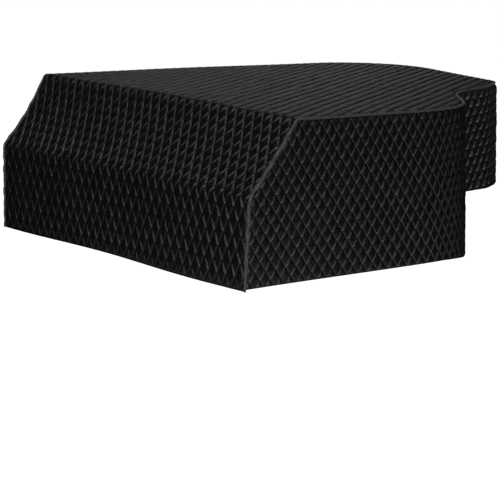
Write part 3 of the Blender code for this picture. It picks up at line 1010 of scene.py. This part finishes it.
def piping_cloth():
    """Bump: patches, then the sines of s + a and s - a multiplied, a weave at a slant. Its grey,
    far lighter than the face cloth's, is partly a painted highlight.
    """
    cloth = Finish("piping_strip_cloth", Roughness=0.4, Specular_IOR_Level=0.5,
                   Sheen_Weight=0.15, Sheen_Roughness=0.4)
    place, s, a = cloth.map("cloth")
    turns = TURN / STRIP_YARN
    weave = ((s + a) * turns).sum("SINE") * ((s - a) * turns).sum("SINE")
    specks = cloth.noise(place, scale=380.0, rough=0.6)
    patches = cloth.noise(place, scale=30.0)
    tone = (specks * 0.6 + patches * 0.4).between(0.3, 0.7)
    # Painted highlight: the strip's grey is partly its own lighter cloth, and partly raised well
    # above the face cloth's so that the seam shows as a bright line.
    colour = cloth.mix(tone, grey(0.035), grey(0.070))
    relief = cloth.bump(patches, distance=0.0015, strength=0.5)
    relief = cloth.bump(weave * 0.5 + specks, distance=0.00018, strength=0.8, over=relief)
    cloth.wear(Base_Color=colour, Roughness=0.42 + specks * 0.15, Normal=relief)
    return cloth.material


lining_finish, strip_finish = lining_cloth(), piping_cloth()
print("lining and strip:", lining_finish.name, strip_finish.name)

# %% [markdown]
# Each panel has two slots: its cloth for the outside, and the lining for the inside and
# the rim. Which face takes which was settled when the panel was made.

# %% Finishes onto pieces
for piece, finish in ((sheet, sheet_finish), (treble, side_finish), (tail, tail_finish),
                      (bass, side_finish)):
    piece.data.materials.append(finish)
    piece.data.materials.append(lining_finish)
cord.data.materials.append(strip_finish)
print("slots on the sheet:", [slot.name for slot in sheet.material_slots])

# %% [markdown]
# ## What each piece stands for
#
# Each new piece takes the place of one solid and rides on the object's one body.

# %% Pieces and solids
def stands_for(piece, node):
    """The piece rides on the one body and hides its solid."""
    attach(piece, "root")
    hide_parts(node)


stands_for(sheet, "top_and_front_panel")
stands_for(treble, "treble_side_panel")
stands_for(tail, "tail_panel")
stands_for(bass, "bass_side_panel")
stands_for(cord, "seam_piping")
print("5 pieces stand for 5 solids")

# %% [markdown]
# The long sheet lies draped over the walls' upper edges, with the cord along its own,
# and the walls hang from it.


# %% [markdown]
# ## The floor
#
# A studio's paper curves up behind the object, so that no edge shows. This one curves up
# all round, for every angle. Lamps would light it unevenly, so it shines by itself, but
# not on the cover: black cloth shows what it reflects, and softboxes shape that better.

# %% Floor
FLOOR_AT = -1.08
PALE, WHITE = (0.5, 0.5, 0.5, 1), (1, 1, 1, 1)


def floor(reach=22.0, bend=8.0, top=25.0, around=96):
    """Rings round the middle. Seen from the side they follow the curve reach + bend *
    sine, bend - bend * cosine, and end in an upright wall."""
    turn = np.linspace(0, TURN / 4, 12)
    radius = np.append(reach + bend * np.sin(turn), reach + bend)[:, None]
    height = np.append(bend - bend * np.cos(turn), top)[:, None]
    angle = TURN * np.arange(around) / around
    points = np.stack((radius * np.cos(angle), radius * np.sin(angle),
                       FLOOR_AT + height + 0 * angle), axis=-1).reshape(-1, 3)
    index = np.arange(len(points)).reshape(-1, around)
    after = np.roll(index, -1, axis=1)
    rings = np.stack((index[:-1], after[:-1], after[1:], index[1:]), axis=-1).reshape(-1, 4)
    mesh = bpy.data.meshes.new("studio_floor")
    mesh.from_pydata(points.tolist(), [], [index[0].tolist()] + rings.tolist())
    ground = bpy.data.objects.new("studio_floor", mesh)
    bpy.context.scene.collection.objects.link(ground)
    paint = Finish("floor_paint", Roughness=0.9, Specular_IOR_Level=0.0, Base_Color=PALE,
                   Emission_Color=WHITE, Emission_Strength=1.0)
    mesh.materials.append(paint.material)
    ground.visible_glossy = ground.visible_diffuse = ground.visible_shadow = False
    print(f"floor {2 * reach:.0f} m wide, {len(rings) + 1} faces")


floor()

# %% [markdown]
# ## The light
#
# Each side of the cover has its softbox: low at the front corner, on the right, overhead,
# and low behind for the sheen on the top. Two cards on the floor light the diamonds from
# below. The tail and the far walls face away from these, and lamps near them would spill
# over, so three more are linked to those pieces alone.

# %% Lights
COVER_MIDDLE = (0, 0, -0.2)
CARD_BELOW = 1.06  # the cards lie this far below the lid, just over the floor


def softbox(name, towards, distance, size, power, aim=COVER_MIDDLE, ahead=None, only=()):
    """An area light at aim + distance * towards. It looks back at aim, or in the
    direction ahead. With only, it lights just those pieces."""
    lamp = bpy.data.lights.new(name, "AREA")
    lamp.shape, lamp.energy = "RECTANGLE", power
    lamp.size, lamp.size_y = size
    holder = bpy.data.objects.new(name, lamp)
    bpy.context.scene.collection.objects.link(holder)
    direction = Vector(towards).normalized()
    holder.location = direction * distance + Vector(aim)
    holder.rotation_euler = Vector(ahead or -direction).to_track_quat("-Z", "Y").to_euler()
    holder.visible_camera = False
    if only:
        lit = bpy.data.collections.new(name + "_lights_these")
        for piece in only:
            lit.objects.link(piece)
        holder.light_linking.receiver_collection = lit


def floor_card(name, place, size, power):
    """A softbox that lies at place, just over the floor, and shines up."""
    softbox(name, (0, 0, -1), CARD_BELOW, size, power, aim=(*place, 0), ahead=(0, 0, 1))


# Name, direction, metres away, size and watts.
softbox("key_softbox", (0.66, -0.73, 0.10), 9.5, (1.6, 4.1), 425)
softbox("right_softbox", (0.86, 0.00, 0.50), 7.0, (1.2, 1.2), 50)
softbox("overhead_softbox", (-0.06, 0.08, 0.98), 8.0, (3.6, 3.6), 166)
softbox("rear_softbox", (-0.78, 0.60, 0.22), 9.0, (3.0, 1.6), 11)
softbox("tail_softbox", (0.86, 0.02, 0.50), 7.0, (3.2, 2.4), 350, aim=(0.4, 0.6, -0.2),
        only=[tail])
softbox("bass_softbox", (-0.80, -0.55, 0.10), 7.0, (1.2, 3.0), 260, only=[bass])
softbox("back_softbox", (-0.72, 0.68, 0.10), 7.0, (1.2, 3.0), 180, only=[bass, tail])
floor_card("side_floor_card", (1.05, -0.40), (0.5, 1.7), 2.2)
floor_card("front_floor_card", (0.20, -1.25), (1.7, 0.5), 0.9)

sky = bpy.data.worlds.new("studio")
sky.use_nodes = True
backdrop = sky.node_tree.nodes["Background"]
backdrop.inputs["Color"].default_value = WHITE
backdrop.inputs["Strength"].default_value = 0.02
bpy.context.scene.world = sky
bpy.context.scene.view_settings.view_transform = "Standard"
print("lamps:", sorted(lamp.name for lamp in bpy.data.lights))

# %% [markdown]
# ## The camera
#
# The camera stands far off with a long lens, a little above a standing person's head,
# and looks at the corner between the keys and the treble side. Three angles are easier
# to adjust than a matrix, so the matrix is worked out from them.

# %% Camera
CAMERA_AT = (6.31933, -5.31378, 0.85431)
YAW, PITCH, ROLL = 0.89886, 0.17562, 0.03441
FILM, LENS = 36.0, 163.326  # millimetres
SHIFT = (-1.003 / 500, -0.187 / 500)


def camera(yaw, pitch, roll):
    """Ahead is +Y turned left by yaw and down by pitch. Right is level and square to it,
    then tilted by roll, and top is right x ahead."""
    ahead = np.array((-math.sin(yaw) * math.cos(pitch), math.cos(yaw) * math.cos(pitch),
                      -math.sin(pitch)))
    level = np.array((math.cos(yaw), math.sin(yaw), 0.0))
    upright = np.cross(level, ahead)
    right = math.cos(roll) * level + math.sin(roll) * upright
    top = np.cross(right, ahead)
    lens = bpy.data.cameras.new("camera")
    lens.sensor_width, lens.lens = FILM, LENS
    lens.shift_x, lens.shift_y = SHIFT
    lens.clip_end = 200.0
    holder = bpy.data.objects.new("camera", lens)
    bpy.context.scene.collection.objects.link(holder)
    turned = np.eye(4)
    turned[:3, 0], turned[:3, 1], turned[:3, 2] = right, top, -ahead
    turned[:3, 3] = CAMERA_AT
    holder.matrix_world = Matrix(turned.tolist())
    bpy.context.scene.camera = holder
    print(f"camera {np.linalg.norm(CAMERA_AT):.2f} m from the middle of the lid")


camera(YAW, PITCH, ROLL)

# %% [markdown]
# ## The end

# %% The end
bpy.context.view_layer.update()
